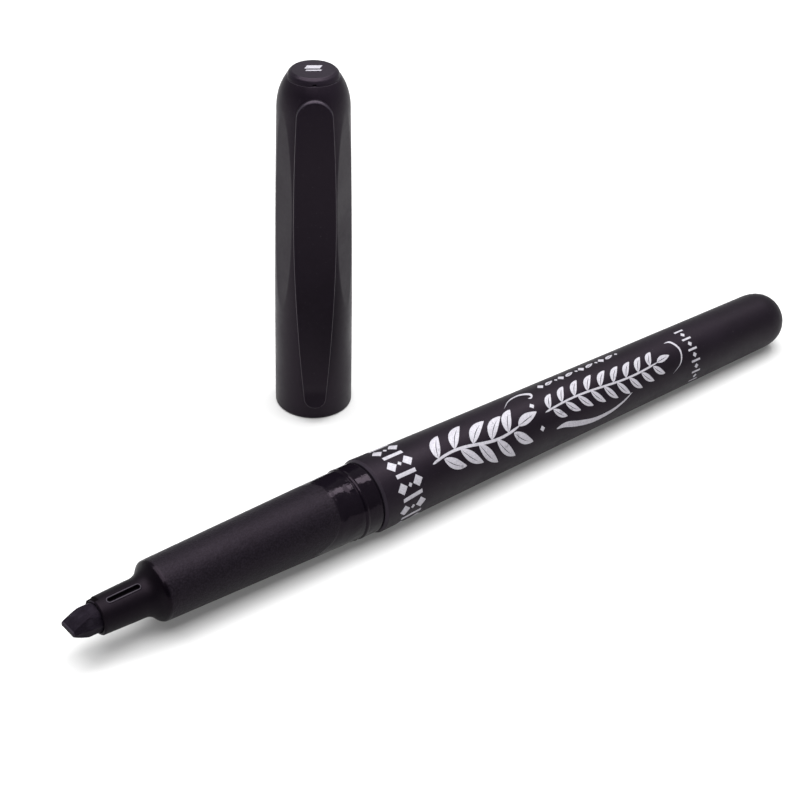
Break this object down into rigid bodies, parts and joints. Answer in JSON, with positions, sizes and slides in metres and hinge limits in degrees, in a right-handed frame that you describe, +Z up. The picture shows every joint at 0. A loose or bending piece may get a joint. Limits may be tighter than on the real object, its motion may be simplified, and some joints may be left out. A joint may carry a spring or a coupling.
{
  "type": "calligraphy marker",
  "caption": "Uncapped chisel-tip calligraphy marker lying beside its standing cap with a sprung pocket clip.",
  "frame": {"origin": "middle of the arrangement's footprint, on the ground that the marker and the cap stand on", "axes": "+X from the nib to the rear of the barrel, +Y from the marker to the standing cap, +Z up"},
  "size_m": [0.1354, 0.0426, 0.0564],
  "materials": {
    "satin_black_barrel": "satin moulded polypropylene with silver-white print",
    "black_section": "spark-eroded grip, glossy neck, flare and nib tube",
    "black_felt": "pressed fibre rod soaked with black ink",
    "ink_fibre": "bonded fibre bundle holding black ink",
    "clear_film": "thin wrapped film",
    "satin_black_cap": "satin moulded polypropylene",
    "gloss_black_plug": "polished moulded plastic with a printed stroke mark",
    "natural_liner": "natural polyethylene",
    "black_clip": "satin face with a polished edge line"
  },
  "bodies": {
    "marker": {"barrel": "satin_black_barrel", "grip_section": "black_section", "chisel_nib": "black_felt", "ink_reservoir_core": "ink_fibre", "reservoir_film_sleeve": "clear_film"},
    "cap": {"cap_shell": "satin_black_cap", "cap_end_plug": "gloss_black_plug", "inner_cap_seal": "natural_liner"},
    "clip": {"pocket_clip": "black_clip"}
  },
  "joints": [
    {"name": "cap_pull", "type": "slide", "parent": "marker", "child": "cap", "axis": [0, 0, 1], "range_m": [0, 0.055]},
    {"name": "clip_flex", "type": "hinge", "parent": "cap", "child": "clip", "pos_m": [-0.00841, 0.01083, 0.05], "axis": [-0.8209, 0.5711, 0], "range_deg": [0, 2.5], "stiffness_Nm_per_rad": 1.6}
  ]
}
